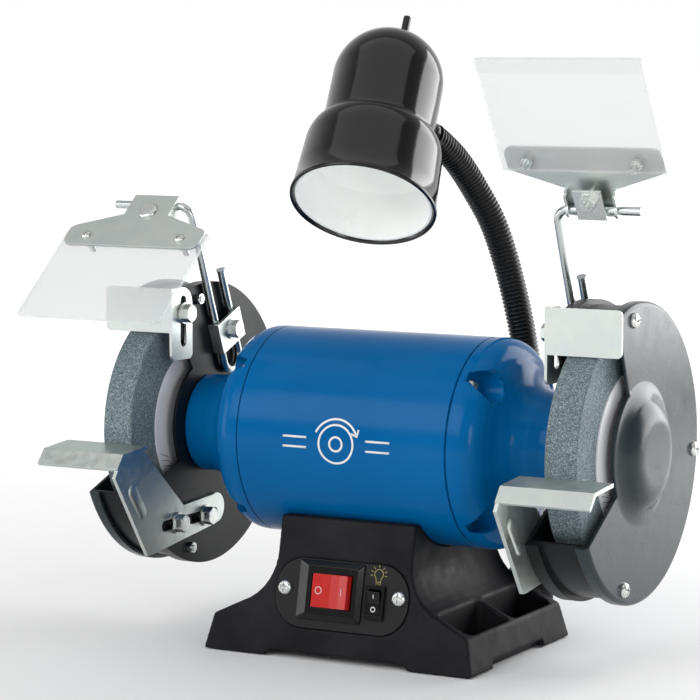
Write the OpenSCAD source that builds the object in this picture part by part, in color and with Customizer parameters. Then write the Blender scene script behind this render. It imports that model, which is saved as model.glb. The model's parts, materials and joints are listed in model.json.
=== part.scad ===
// Bench grinder, 150 mm class, with eye shields and a flexible work lamp.
// Frame: +X along the shaft, the front faces -Y, +Z up.
// The origin is on the table, at the centre of the base's bolt pattern.

/* [Wheels] */
// Radius of the grinding wheels
wheel_r = 75; // [70:0.5:75]
// Thickness of each grinding wheel
wheel_w = 20; // [16:0.5:20]
// Height of the shaft above the table
axis_h = 129; // [127:0.5:131]

/* [Base] */
// Width of the casting at the table
base_w = 182; // [178:1:190]
// Depth of the casting at the table
base_d = 139; // [136:1:142]
// Spacing of the mounting holes across the base
bolt_dx = 152; // [150:1:154]
// Spacing of the mounting holes from front to back
bolt_dy = 46; // [44:1:50]
// Radius of the mounting holes
bolt_hole_r = 4.25; // [3.25:0.25:4.5]

/* [Settings] */
// Tilt of the right eye shield's plane, measured back from straight up
shield_tilt_right = 33; // [20:1:60]
// Tilt of the left eye shield's plane, measured from straight up
shield_tilt_left = 130; // [90:1:134]
// Height setting of the right shield's rod in its clamp
rod_set_right = 2; // [-3:0.5:8]
// Height setting of the left shield's rod in its clamp
rod_set_left = -4; // [-4:0.5:8]

/* [Hidden] */
$fn = 96;
eps = 0.01;
slide_gap = 0.3;
run_gap = 0.04;

// Motor housing
shell_r = 63.6;
shell_wall = 4;
shell_half = 70;
tie_r = 55;
tie_shank_r = 2.5;
bell_end = 128;
neck_r = 30.5;
bearing_r = 17.5;
bearing_x = [99, 110];
shaft_r = 7.5;
spindle_r = 6.35;
shoulder_x = 133.8;

// Wheel stack, from the shoulder outwards
flange_r = 24;
flange_hub_r = 14;
flange_relief_r = 16;
flange_t = 4;
blotter_r = 48;
blotter_t = 1;
wheel_x = shoulder_x + flange_t + blotter_t;
outer_x = wheel_x + wheel_w + blotter_t;
nut_x = outer_x + flange_t;
nut_t = 8;
spindle_end = 173.5;

// Guards
guard_r = 89;
guard_t = 2;
band_r = 86;
band_t = 1.5;
cover_x = 165;
hub_r = 41;
bulge_h = 10;
bulge_top_r = 19;
rim_w = 8;
rim_fillet = 3;
cover_wall = 1.8;
cover_screw_r = 80.5;
cover_screw_angles = [100, -5, -108];
guard_screw_r = 21.5;
wedge_high = [-63, 105];
cover_high = [-46, 105];
wedge_low_left = [-130, -55.1];
wedge_low_right = [-130, -77.3];

// Sheet parts that lie on the motor side of each guard
side_x = bell_end - slide_gap;
defl_t = 1.8;
defl_front = 47.5;
defl_z = [189.5, 217];
defl_right = 174;
defl_bolt = [-34, 72];
rest_t = 2.4;
rest_bolts = [[-44, -58], [-11, -58]];
table_y = [78, 104];
table_top = 123.5;
table_fold_top = 121.5;

// Eye-shield rod: long leg through (0, 197) in the Y-Z plane
rod_r = 2.5;
rod_x = 124.8;
rod_z = 197;
rod_lean = 21.8;
rod_gap = 18.6;
rod_low = -28.9;
rod_short_top = 26;
rod_bend = 8;
rod_arm = 79;
arm_end = 178;
clamp_bolt_s = -14;
clamp_t = 2;

// Eye shield, seen along its own plane
shield_x = 148.5;
shield_w = 102;
shield_near = 26;
shield_far = 102;
shield_t = 2.4;
plate_y = 2.9;
bracket_t = 1.6;
bar = [24.5, 41];
bar_half = 49;
bar_corner = 6;
ear_x = 16;
shield_screw = [34, 33];
pinch_z = 9.5;

// Base casting
lift = 0.5;
base_top = 84;
base_wall = 4;
waist = 91;
base_top_d = 104;
flange_z = 22;
flank_r = 33;
flank_z = 62;
foot_pos = [76, 55];
trough_x = [62, 83.5];
plate_half = [trough_x[0] - base_wall - 0.2, 57.5];
plate_z = 6.5;
plate_t = 1.6;
neck_pos = [62, 74];
foot_gap = 4.2;
well_y = [2, 57];
trough_floor = 9;
boss_r = 14;
boss_top = 40;

// Control panel, in the plane of the sloping front
face_lean = atan2((base_d - base_top_d) / 2, base_top - lift);
panel_c = [0.8, 39.5];
panel_size = [90, 42];
panel_t = 2.5;
panel_inset = 2;
panel_screws_at = [[-38.4, 2], [38.8, 2]];
main_c = [-7.3, 2.2];
main_size = [43.6, 35.6];
main_rocker_c = [-5.1, 2.2];
main_rocker_size = [25.6, 20];
lamp_c = [23.2, -1.5];
lamp_size = [12.6, 20.6];
lamp_rocker_size = [8, 13.4];
rocker_tilt = 8;

// Gland for the supply cord
gland_r = 8;
cord_r = 4.2;

// Lamp: gooseneck joints from the base up, and the shade's own frame
neck_outer_r = 8.5;
neck_joints = [[62, 74, 150], [51, 72, 210], [40, 62, 256], [29, 45, 288]];
cup_rim = 5;
shade_pos = [6, -44.6, 272];
shade_turn = [-36.2, 0, 11.5];
shade_r = 43.4;
shade_len = 122;
tube_r = 33.8;
stem_r = 2.4;
stem_out = 15.5;
stem_x = 4;
stem_seat_r = 5;
collar_r = 11;
collar_len = 9;
bulb_r = 17;
bulb_s = 58;
cap_r = 13.2;
cap_s = 78;
cap_len = 22;
holder_r = 19;
holder_len = 28;
collar_turn = 47.5;
collar_s = 65.14;
head_joint_r = 47.23;
head_joint = [24, 27, 304];

zinc = [0.80, 0.82, 0.82];
steel = [0.62, 0.63, 0.64];
dark = [0.16, 0.15, 0.15];
black = [0.08, 0.08, 0.09];

// ---------- helpers ----------

// Both sides of the machine, or one side by its sign
module both_sides() {
    children();
    mirror([1, 0, 0]) children();
}

module on_side(s) {
    if (s > 0) children();
    else mirror([1, 0, 0]) children();
}

module at_axis() {
    translate([0, 0, axis_h]) children();
}

// Cylinder along X between two stations
module xcyl(r, x0, x1) {
    translate([x0, 0, 0]) rotate([0, 90, 0]) cylinder(r = r, h = x1 - x0);
}

// Ring along X
module xring(r_out, r_in, x0, x1) {
    difference() {
        xcyl(r_out, x0, x1);
        xcyl(r_in, x0 - 1, x1 + 1);
    }
}

// Revolve a profile of [radius, x] points about the X axis
module xturn(points) {
    rotate([0, 90, 0]) rotate_extrude() polygon(points);
}

// Plate drawn in the Y-Z plane, from x0 outwards
module yz_plate(x0, t) {
    translate([x0, 0, 0]) rotate([90, 0, 90]) linear_extrude(t) children();
}

// Move to a place in the Y-Z plane, looking along X
module at_yz(p) {
    translate([0, p[0], p[1]]) children();
}

// Points on a circle from angle a0 to a1
function arc(c, r, a0, a1, n) = [
    for (i = [0 : n]) let (a = a0 + (a1 - a0) * i / n) c + r * [cos(a), sin(a)]
];

// Points on the curve from a to c that b pulls towards itself
function bezier(a, b, c, n) = [
    for (i = [0 : n]) let (t = i / n) (1 - t) * (1 - t) * a + 2 * t * (1 - t) * b + t * t * c
];

module rounded_rect(size, r) {
    for (x = [-1, 1], y = [-1, 1]) translate([x * (size[0] / 2 - r), y * (size[1] / 2 - r)]) circle(r);
    square([size[0] - 2 * r, size[1]], center = true);
    square([size[0], size[1] - 2 * r], center = true);
}

// Straight slot along X with round ends
module slot2d(length, r) {
    for (s = [-1, 1]) translate([s * (length / 2 - r), 0]) circle(r);
    square([length - 2 * r, 2 * r], center = true);
}

// Fasteners point along +Z: the head stands above z = 0, the shank goes down
module pan_head(head_r, head_h) {
    edge = head_h * 0.9;
    rotate_extrude() polygon(concat(
        [[0, 0], [head_r, 0]],
        arc([head_r - edge, head_h - edge], edge, 0, 90, 6),
        [[0, head_h]]
    ));
}

module pan_screw(head_r, head_h, shank_r, length) {
    slot_w = head_r * 0.24;
    slot_len = head_r * 1.2;
    difference() {
        pan_head(head_r, head_h);
        for (a = [0, 90]) rotate([0, 0, a]) translate([-slot_len / 2, -slot_w / 2, head_h * 0.55])
            cube([slot_len, slot_w, head_h]);
    }
    translate([0, 0, -length]) cylinder(r = shank_r, h = length + eps);
}

module hex_head(across, h) {
    intersection() {
        cylinder(r = across / 2 / cos(30), h = h, $fn = 6);
        translate([0, 0, -eps]) cylinder(r1 = across * 0.85, r2 = across * 0.52, h = h + 2 * eps);
    }
}

module washer(r_out, r_in, t) {
    difference() {
        cylinder(r = r_out, h = t);
        translate([0, 0, -1]) cylinder(r = r_in, h = t + 2);
    }
}

// Point a fastener's +Z at the motor (head inwards) or away from it
module facing_motor() {
    rotate([0, -90, 0]) children();
}

module facing_out() {
    rotate([0, 90, 0]) children();
}

// ---------- base ----------

// Front view of the casting: half outline, mirrored
function flank(off) = concat(
    [[base_w / 2 - off, 0], [86 - off, flange_z - off / 2]],
    arc([waist / 2 + flank_r, flank_z], flank_r + off, 250, 180, 8),
    [[waist / 2 - off, 130]]
);

module base_block(off) {
    intersection() {
        translate([0, base_d, 0]) rotate([90, 0, 0]) linear_extrude(2 * base_d) {
            polygon(concat(flank(off), [[0, 130], [0, 0]]));
            mirror([1, 0]) polygon(concat(flank(off), [[0, 130], [0, 0]]));
        }
        translate([-base_w, 0, 0]) rotate([90, 0, 90]) linear_extrude(2 * base_w)
            polygon([
                [-base_d / 2 + off, lift], [base_d / 2 - off, lift],
                [base_top_d / 2 - off, base_top - off / 4], [-base_top_d / 2 + off, base_top - off / 4]
            ]);
    }
}

module at_mount_holes() {
    for (x = [-1, 1], y = [-1, 1]) translate([x * bolt_dx / 2, y * bolt_dy / 2, 0]) children();
}

module at_feet() {
    for (x = [-1, 1], y = [-1, 1]) translate([x * foot_pos[0], y * foot_pos[1], 0]) children();
}

module at_plate_screws() {
    for (x = [-1, 1], y = [-1, 1]) translate([x * 52, y * 50, plate_z]) children();
}

// Plane of the sloping front, at the panel's centre
module on_panel() {
    y_front = -base_d / 2 + (panel_c[1] - lift) * tan(face_lean);
    translate([panel_c[0], y_front, panel_c[1]]) rotate([90 - face_lean, 0, 0]) children();
}

// Plane of the sloping back
module on_back(x, z) {
    y_back = base_d / 2 - (z - lift) * tan(face_lean);
    translate([x, y_back, z]) rotate([face_lean - 90, 0, 0]) children();
}

module base_casting() {
    color(dark) difference() {
        union() {
            difference() {
                base_block(0);
                difference() {
                    translate([0, 0, -base_wall]) base_block(base_wall);
                    at_axis() xcyl(shell_r + base_wall, -base_w, base_w);
                }
                translate([-74, -58, 0]) cube([148, 116, lift + 8]);
            }
            intersection() {
                base_block(0);
                union() {
                    both_sides() translate([trough_x[0] - base_wall, -well_y[1] - base_wall, 0])
                        cube([base_w, 2 * (well_y[1] + base_wall), 60]);
                    at_feet() cylinder(r = 12, h = 60);
                    at_plate_screws() translate([0, 0, plate_t]) cylinder(r = 5, h = 34);
                }
            }
            translate([neck_pos[0], neck_pos[1], lift]) cylinder(r = boss_r, h = boss_top - lift);
        }
        at_axis() xcyl(shell_r, -base_w, base_w);
        // troughs over the mounting holes, with a rib between them
        both_sides() for (s = [-1, 1])
            translate([(trough_x[0] + trough_x[1]) / 2, s * (well_y[0] + well_y[1]) / 2, trough_floor])
                linear_extrude(60) rounded_rect([trough_x[1] - trough_x[0], well_y[1] - well_y[0]], 5);
        at_mount_holes() translate([0, 0, -1]) cylinder(r = bolt_hole_r, h = 20);
        at_feet() translate([0, 0, -1]) cylinder(r = 9, h = 6);
        // the casting stands on its four corners
        translate([0, base_d, 0]) rotate([90, 0, 0]) linear_extrude(2 * base_d)
            polygon([[-50, -1], [50, -1], [45, foot_gap], [-45, foot_gap]]);
        both_sides() translate([86, -38, -1]) cube([base_w, 70, foot_gap + 1.6]);
        at_plate_screws() cylinder(r = 2, h = 14);
        on_panel() {
            translate([0, 0, -panel_inset]) linear_extrude(20) rounded_rect(panel_size, 19);
            translate([0, 0, -12]) linear_extrude(20) square([64, 35], center = true);
            for (p = panel_screws_at) translate([p[0], p[1], -10]) cylinder(r = 2, h = 12);
        }
        on_back(-20, 36) translate([0, 0, -10]) cylinder(r = gland_r, h = 20);
        translate([0, 0, 50]) cylinder(r = 6, h = 30);
        translate([neck_pos[0], neck_pos[1], boss_top - 18]) cylinder(r = neck_outer_r + run_gap, h = 30);
    }
}

module base_plate() {
    color(steel) translate([0, 0, plate_z]) difference() {
        linear_extrude(plate_t) rounded_rect(2 * plate_half, 4);
        at_plate_screws() translate([0, 0, -9]) cylinder(r = 2, h = 20);
        for (x = [-30 : 12 : 30]) translate([x, -8, -1]) linear_extrude(4) rotate(90) slot2d(24, 2);
    }
}

module base_plate_screws() {
    color(steel) at_plate_screws() mirror([0, 0, 1]) pan_screw(3.8, 2.4, 2, 12);
}

module rubber_feet() {
    color(black) at_feet() difference() {
        cylinder(r = 9, h = 5);
        translate([0, 0, -1]) cylinder(r = 3.5, h = 3.5);
    }
}

module control_panel() {
    color(dark) on_panel() translate([0, 0, -panel_inset]) linear_extrude(panel_t) difference() {
        rounded_rect([panel_size[0] - 0.4, panel_size[1] - 0.4], 18.8);
        translate(main_c) square(main_size - [6, 6], center = true);
        translate(lamp_c) square(lamp_size - [2, 2], center = true);
        for (p = panel_screws_at) translate(p) circle(2);
    }
}

module panel_screws() {
    color(zinc) on_panel() for (p = panel_screws_at)
        translate([p[0], p[1], panel_t - panel_inset]) pan_screw(4.6, 2.6, 2, 9);
}

module main_switch_frame() {
    color(black) on_panel() difference() {
        union() {
            translate([main_c[0], main_c[1], panel_t - panel_inset]) hull() {
                linear_extrude(1) rounded_rect(main_size, 1.5);
                translate([main_rocker_c[0] - main_c[0], 0, 3.4]) linear_extrude(0.2)
                    rounded_rect(main_rocker_size + [8, 9], 1.5);
            }
            translate([main_c[0], main_c[1], -17]) linear_extrude(18)
                square(main_size - [6, 6], center = true);
        }
        translate([main_rocker_c[0], main_rocker_c[1], -15]) linear_extrude(40)
            square([main_rocker_size[0] + 2.4, main_rocker_size[1] + 0.6], center = true);
        translate([main_rocker_c[0], main_rocker_c[1], 0]) rotate([90, 0, 0])
            cylinder(r = 1.5 + run_gap, h = main_rocker_size[1] + 3, center = true);
    }
}

module main_rocker() {
    w = main_rocker_size[0] / 2;
    color([0.78, 0.06, 0.06]) on_panel()
        translate([main_rocker_c[0], main_rocker_c[1], 0]) rotate([0, -rocker_tilt, 0]) rotate([90, 0, 0]) {
            linear_extrude(main_rocker_size[1], center = true) polygon([
                [-w, 5.6], [-w / 2, 5.0], [0, 4.6], [w / 2, 5.0], [w, 5.6], [w, 1], [6, -7], [-6, -7], [-w, 1]
            ]);
            cylinder(r = 1.5, h = main_rocker_size[1] + 2.4, center = true);
        }
}

module lamp_switch_frame() {
    color(black) on_panel() difference() {
        union() {
            translate([lamp_c[0], lamp_c[1], panel_t - panel_inset]) linear_extrude(2)
                rounded_rect(lamp_size, 1);
            translate([lamp_c[0], lamp_c[1], -12]) linear_extrude(13)
                square(lamp_size - [2, 2], center = true);
        }
        translate([lamp_c[0], lamp_c[1], -10.5]) linear_extrude(40)
            square([lamp_rocker_size[0] + 0.6, lamp_rocker_size[1] + 1.8], center = true);
        translate([lamp_c[0], lamp_c[1], 0]) rotate([0, 90, 0])
            cylinder(r = 1 + run_gap, h = lamp_rocker_size[0] + 2, center = true);
    }
}

module lamp_rocker() {
    w = lamp_rocker_size[1] / 2;
    color(black) on_panel() translate([lamp_c[0], lamp_c[1], 0]) rotate([rocker_tilt, 0, 0]) {
        rotate([90, 0, 90]) linear_extrude(lamp_rocker_size[0], center = true)
            polygon([[-w, 3.5], [0, 2.9], [w, 3.5], [w, 0.5], [3, -4], [-3, -4], [-w, 0.5]]);
        rotate([0, 90, 0]) cylinder(r = 1, h = lamp_rocker_size[0] + 1.6, center = true);
    }
}

// Inlet for the supply cable, open right through
module cable_gland() {
    tail = 9;
    hex_h = 6;
    cap = 9.6;
    cap_edge = 2;
    cap_h = 8;
    color(black) on_back(-20, 36) difference() {
        union() {
            translate([0, 0, -tail]) cylinder(r = gland_r, h = tail);
            cylinder(r = 11.5, h = hex_h, $fn = 6);
            translate([0, 0, hex_h]) rotate_extrude() polygon(concat(
                [[0, 0], [cap, 0], [cap, cap_h - cap_edge]],
                arc([cap - cap_edge, cap_h - cap_edge], cap_edge, 0, 90, 5),
                [[0, cap_h]]
            ));
        }
        translate([0, 0, -tail - 3]) cylinder(r = cord_r, h = 30);
    }
}

module capacitor() {
    color([0.75, 0.75, 0.72]) translate([-28, 26, plate_z + plate_t + 15]) {
        xcyl(15, 0, 52);
        for (y = [-5, 5]) translate([52, y - 0.4, -2]) cube([7, 0.8, 5]);
    }
}

module terminal_block() {
    color([0.85, 0.83, 0.76]) translate([-20, -26, plate_z + plate_t]) difference() {
        union() {
            cube([48, 17, 9]);
            translate([0, 4, 0]) cube([48, 9, 14]);
        }
        for (i = [0 : 3]) translate([6 + 12 * i, 8.5, 4]) cylinder(r = 2.4, h = 20);
        for (i = [0 : 3]) translate([6 + 12 * i, -1, 4]) rotate([-90, 0, 0]) cylinder(r = 1.8, h = 30);
    }
}

// ---------- motor ----------

module motor_shell() {
    color([0.0, 0.36, 0.66]) at_axis() difference() {
        xring(shell_r, shell_r - shell_wall, -shell_half, shell_half);
        translate([0, 0, -shell_r - 5]) cylinder(r = 6, h = 20);
    }
}

// Outside of an end bell as [radius, x]: shoulder arc, then a hollow sweep to the neck
bell_outside = concat(
    [[shell_r, shell_half], [shell_r, 76]],
    [for (a = [15 : 15 : 75]) [shell_r - 16 + 16 * cos(a), 76 + 15 * sin(a)]],
    bezier([50, 91.4], [35.5, 95], [33, 109], 6),
    [[neck_r, 118], [neck_r, bell_end]]
);

module at_tie_screws() {
    for (a = [45 : 90 : 315]) rotate([a, 0, 0]) translate([0, tie_r, 0]) children();
}

module end_bell() {
    at_axis() difference() {
        union() {
            difference() {
                xturn(concat([[0, shell_half]], bell_outside, [[0, bell_end]]));
                xturn([
                    [0, shell_half - 1], [59.6, shell_half - 1], [59.6, 75.5],
                    [46, 86.5], [29, 91], [26, 94], [0, 94]
                ]);
            }
            intersection() {
                xturn(concat([[0, shell_half]], bell_outside, [[0, bell_end]]));
                at_tie_screws() xcyl(11, shell_half, 96);
            }
        }
        at_tie_screws() {
            xcyl(9, 75, 110);
            xcyl(tie_shank_r, 60, 80);
        }
        xcyl(bearing_r, 90, bearing_x[1]);
        xcyl(12, 90, bell_end + 1);
        for (a = [90, 210, 330]) rotate([a, 0, 0]) translate([0, guard_screw_r, 0])
            xcyl(2, bell_end - 12, bell_end + 1);
    }
}

module end_bell_left() {
    color([0.0, 0.36, 0.66]) on_side(-1) end_bell();
}

module end_bell_right() {
    color([0.0, 0.36, 0.66]) on_side(1) end_bell();
}

// Long screws that pull both bells against the shell
module tie_screws() {
    color(steel) at_axis() at_tie_screws() {
        translate([75, 0, 0]) facing_out() pan_screw(4.4, 3.4, tie_shank_r, 150);
        translate([-75, 0, 0]) facing_motor() hex_head(8, 4);
    }
}

module stator_core() {
    color([0.45, 0.46, 0.48]) at_axis() difference() {
        xring(shell_r - shell_wall, 32.5, -27, 27);
        at_tie_screws() xcyl(tie_shank_r, -30, 30);
        for (a = [0 : 15 : 345]) rotate([a, 0, 0]) translate([-30, -1.4, 34]) cube([60, 2.8, 11]);
    }
}

module stator_windings() {
    color([0.75, 0.38, 0.16]) at_axis() both_sides()
        xturn(concat([[35, 27], [50, 27]], arc([45, 38], 5, 0, 90, 6), arc([40, 38], 5, 90, 180, 6)));
}

module rotor() {
    color(steel) at_axis() difference() {
        union() {
            xcyl(32, -27, 27);
            both_sides() xcyl(29, 26, 33);
        }
        xcyl(shaft_r, -80, 80);
    }
}

// Fan on the left end of the rotor
module cooling_fan() {
    color(black) at_axis() difference() {
        union() {
            xcyl(13, -66, -56);
            for (a = [0 : 30 : 330]) rotate([a, 0, 0]) translate([-66, 8, -1]) cube([10, 34, 2]);
            xcyl(42, -57.5, -56);
        }
        xcyl(shaft_r, -80, 80);
    }
}

module shaft() {
    color(steel) at_axis() {
        xcyl(shaft_r, -shoulder_x, shoulder_x);
        both_sides() xturn([
            [0, shoulder_x - 1], [spindle_r, shoulder_x - 1], [spindle_r, spindle_end - 1.5],
            [spindle_r - 1.5, spindle_end], [0, spindle_end]
        ]);
    }
}

module bearings() {
    inner = shaft_r + run_gap;
    color([0.7, 0.7, 0.72]) at_axis() both_sides() xturn([
        [inner, bearing_x[0]], [10.5, bearing_x[0]], [10.5, bearing_x[0] + 1], [14.5, bearing_x[0] + 1],
        [14.5, bearing_x[0]], [bearing_r, bearing_x[0]], [bearing_r, bearing_x[1]], [14.5, bearing_x[1]],
        [14.5, bearing_x[1] - 1], [10.5, bearing_x[1] - 1], [10.5, bearing_x[1]], [inner, bearing_x[1]]
    ]);
}

// ---------- wheels ----------

module inner_flanges() {
    color(steel) at_axis() both_sides() xturn([
        [spindle_r, shoulder_x], [flange_hub_r, shoulder_x], [flange_r, shoulder_x + 1.6],
        [flange_r, shoulder_x + flange_t], [flange_relief_r, shoulder_x + flange_t],
        [flange_relief_r, shoulder_x + flange_t - 0.6], [spindle_r, shoulder_x + flange_t - 0.6]
    ]);
}

module outer_flanges() {
    color(steel) at_axis() both_sides() xturn([
        [spindle_r, outer_x + 0.6], [flange_relief_r, outer_x + 0.6], [flange_relief_r, outer_x],
        [flange_r, outer_x], [flange_r, outer_x + flange_t - 1.6], [flange_hub_r, outer_x + flange_t],
        [spindle_r, outer_x + flange_t]
    ]);
}

module wheel_blotters() {
    color([0.72, 0.70, 0.80]) at_axis() both_sides() {
        xring(blotter_r, spindle_r, wheel_x - blotter_t, wheel_x);
        xring(blotter_r, spindle_r, wheel_x + wheel_w, outer_x);
    }
}

module wheel() {
    c = 0.8;
    at_axis() xturn([
        [spindle_r, wheel_x], [wheel_r - c, wheel_x], [wheel_r, wheel_x + c],
        [wheel_r, wheel_x + wheel_w - c], [wheel_r - c, wheel_x + wheel_w], [spindle_r, wheel_x + wheel_w]
    ]);
}

module wheel_left() {
    color([0.42, 0.43, 0.45]) on_side(-1) wheel();
}

module wheel_right() {
    color([0.42, 0.43, 0.45]) on_side(1) wheel();
}

module spindle_nuts() {
    color(zinc) at_axis() both_sides() translate([nut_x, 0, 0]) facing_out() difference() {
        hex_head(19, nut_t);
        translate([0, 0, -1]) cylinder(r = spindle_r, h = nut_t + 2);
    }
}

// ---------- guards ----------

// The working opening at the front, between the deflector and the tool rest
module front_wedge(high, low) {
    polygon([[-18.5, 34], high, [-130, 105], low, [-35.5, -20.5]]);
}

module guard_outline(high, low) {
    difference() {
        circle(guard_r);
        front_wedge(high, low);
    }
    circle(hub_r);
}

module at_cover_screws() {
    for (a = cover_screw_angles) rotate([a, 0, 0]) translate([0, cover_screw_r, 0]) children();
}

module at_guard_screws() {
    for (a = [90, 210, 330]) rotate([a, 0, 0]) translate([0, guard_screw_r, 0]) children();
}

// Dish on the motor side with the band round the wheel
module guard(low, lip_turn) {
    at_axis() {
        yz_plate(bell_end, guard_t) difference() {
            guard_outline(wedge_high, low);
            circle(13);
            for (a = cover_screw_angles) rotate(a) translate([cover_screw_r, 0]) circle(2);
            for (a = [90, 210, 330]) rotate(a) translate([guard_screw_r, 0]) circle(2);
            translate(defl_bolt) circle(3);
            for (p = rest_bolts) translate(p) circle(3);
            translate(clamp_bolt_yz - [0, axis_h]) circle(3);
        }
        difference() {
            union() {
                xring(guard_r, band_r - band_t, bell_end + guard_t, bell_end + rim_w);
                xring(band_r, band_r - band_t, bell_end + guard_t, cover_x);
            }
            yz_plate(bell_end, cover_x) front_wedge(wedge_high, low);
        }
        // lip that closes the band's lower end against the wheel
        rotate([lip_turn, 0, 0]) yz_plate(bell_end + guard_t, cover_x - bell_end - guard_t)
            polygon([
                [-77.3, -37], [-66, -41.6], [-65, -43.6], [-66.8, -43.8], [-76.2, -39.5]
            ]);
    }
}

module guard_left() {
    color(black) on_side(-1) guard(wedge_low_left, 0);
}

module guard_right() {
    color(black) on_side(1) guard(wedge_low_right, 6.2);
}

module guard_screws() {
    color(zinc) at_axis() both_sides() at_guard_screws()
        translate([bell_end + guard_t, 0, 0]) facing_out() pan_screw(4, 2.6, 2, 13.9);
}

// Outer dish: rim over the band, flat face, domed centre that clears the spindle nut
cover_face = cover_x + guard_t;
bulge_x = cover_face + bulge_h;
cover_outside = concat(
    [[guard_r, cover_face - rim_w]],
    arc([guard_r - rim_fillet, cover_face - rim_fillet], rim_fillet, 0, 90, 6),
    bezier([hub_r, cover_face], [hub_r - 6, cover_face + 0.6], [hub_r - 10, cover_face + bulge_h * 0.45], 6),
    bezier([hub_r - 12, cover_face + bulge_h * 0.6], [bulge_top_r + 5, bulge_x], [bulge_top_r, bulge_x], 6),
    [[0, bulge_x]]
);
cover_inside = concat(
    [[0, bulge_x - cover_wall]],
    bezier(
        [bulge_top_r - 1, bulge_x - cover_wall],
        [bulge_top_r + 4, bulge_x - cover_wall],
        [hub_r - 13.6, cover_face + bulge_h * 0.6 - 1],
        6
    ),
    bezier(
        [hub_r - 11.6, cover_face + bulge_h * 0.45 - 1],
        [hub_r - 7, cover_face - 1.4],
        [hub_r - 2, cover_x],
        6
    ),
    [[band_r + 0.2, cover_x], [band_r + 0.2, cover_face - rim_w]]
);

module cover(low) {
    at_axis() difference() {
        xturn(concat(cover_outside, cover_inside));
        difference() {
            yz_plate(cover_x - 20, 60) front_wedge(cover_high, low);
            xcyl(hub_r, cover_x - 30, cover_x + 60);
        }
        at_cover_screws() xcyl(2, cover_x - 1, cover_face + 1);
    }
}

module cover_left() {
    color([0.30, 0.32, 0.34]) on_side(-1) cover(wedge_low_left);
}

module cover_right() {
    color([0.30, 0.32, 0.34]) on_side(1) cover(wedge_low_right);
}

// Long screws from each cover through to a nut behind the guard
module cover_screws() {
    color(zinc) at_axis() both_sides() at_cover_screws() {
        translate([cover_face, 0, 0]) facing_out() pan_screw(4.6, 3, 2, cover_face - bell_end + 4);
        translate([bell_end, 0, 0]) facing_motor() hex_head(6.4, 3.2);
    }
}

// ---------- spark deflector and tool rest ----------

module deflector() {
    x0 = side_x - defl_t;
    flange_w = 24;
    ear_r = 11;
    corner_r = 3;
    difference() {
        union() {
            // front plate, its outer corners rounded
            translate([0, -defl_front, 0]) mirror([0, 1, 0]) rotate([90, 0, 0]) linear_extrude(1.5) {
                translate([x0, defl_z[0]]) square([defl_right - corner_r - x0, defl_z[1] - defl_z[0]]);
                for (z = defl_z + [corner_r, -corner_r])
                    translate([defl_right - corner_r, z]) circle(corner_r);
                translate([defl_right - corner_r - 1, defl_z[0] + corner_r])
                    square([corner_r + 1, defl_z[1] - defl_z[0] - 2 * corner_r]);
            }
            yz_plate(x0, defl_t) {
                translate([-defl_front, 176]) square([flange_w, 30]);
                translate([-defl_front + flange_w - 11, defl_z[1] - ear_r]) circle(ear_r);
                translate([-defl_front, defl_z[0]]) square([flange_w - ear_r, defl_z[1] - defl_z[0]]);
                translate([-defl_front + 4, 176]) circle(4);
                translate([-defl_front + 4, 172]) square([flange_w - 8, 8]);
                translate([-defl_front + flange_w - 4, 176]) circle(4);
            }
        }
        yz_plate(x0 - 1, defl_t + 2) translate([defl_bolt[0], 196]) rotate(90) slot2d(32, 3.1 + slide_gap);
    }
}

module deflector_left() {
    color(zinc) on_side(-1) deflector();
}

module deflector_right() {
    color(zinc) on_side(1) deflector();
}

module tool_rest() {
    x0 = side_x - rest_t;
    table_end = 183;
    lip_cut = 10;
    difference() {
        union() {
            yz_plate(x0, table_end - x0)
                polygon([
                    [-table_y[0], table_top], [-table_y[1], table_fold_top],
                    [-table_y[1], table_fold_top - rest_t], [-table_y[0], table_top - rest_t]
                ]);
            // front lip, bent down and cut back beside the bracket
            difference() {
                yz_plate(x0, table_end - x0)
                    polygon([
                        [-table_y[1], table_fold_top], [-111, 113], [-109.2, 111.6],
                        [1.6 - table_y[1], table_fold_top - rest_t]
                    ]);
                translate([x0, -116, table_fold_top - rest_t]) rotate([0, 45, 0])
                    translate([-lip_cut * 2, 0, -lip_cut * 2]) cube([lip_cut * 2, 24, lip_cut * 2]);
            }
            yz_plate(x0, rest_t) {
                polygon([
                    [-84, 123], [-table_y[1], table_fold_top], [-113, 108], [-77.5, 55.5],
                    [-72, 55.5], [2, 64], [4, 83], [-36, 81]
                ]);
                translate([3, 74]) circle(9.5);
            }
        }
        yz_plate(x0 - 1, rest_t + 2) translate([-28.5, 71]) slot2d(66, 3.1 + slide_gap);
    }
}

module tool_rest_left() {
    color(zinc) on_side(-1) tool_rest();
}

module tool_rest_right() {
    color(zinc) on_side(1) tool_rest();
}

// Bolts with their nuts for the deflectors, the tool rests and the rod clamps
module guard_bolt(inner_x) {
    translate([inner_x, 0, 0]) facing_motor() {
        washer(6.6, 2.9, 1.2);
        translate([0, 0, 1.2]) hex_head(10, 5);
        translate([0, 0, inner_x - bell_end - guard_t - 4.6])
            cylinder(r = 3, h = bell_end + guard_t + 6 - inner_x);
    }
    translate([bell_end + guard_t, 0, 0]) facing_out() hex_head(9, 3.4);
}

module guard_bolts() {
    color(zinc) both_sides() {
        at_axis() at_yz(defl_bolt) guard_bolt(side_x - defl_t - slide_gap);
        at_axis() for (p = rest_bolts) at_yz(p) guard_bolt(side_x - rest_t - slide_gap);
        at_yz(clamp_bolt_yz) guard_bolt(rod_x - rod_r - slide_gap - clamp_t);
    }
}

// ---------- eye shields ----------

// Local frame of the rod: +Z along the long leg, +Y towards the short leg
module on_rod() {
    translate([rod_x, 0, rod_z]) rotate([rod_lean, 0, 0]) children();
}

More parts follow.
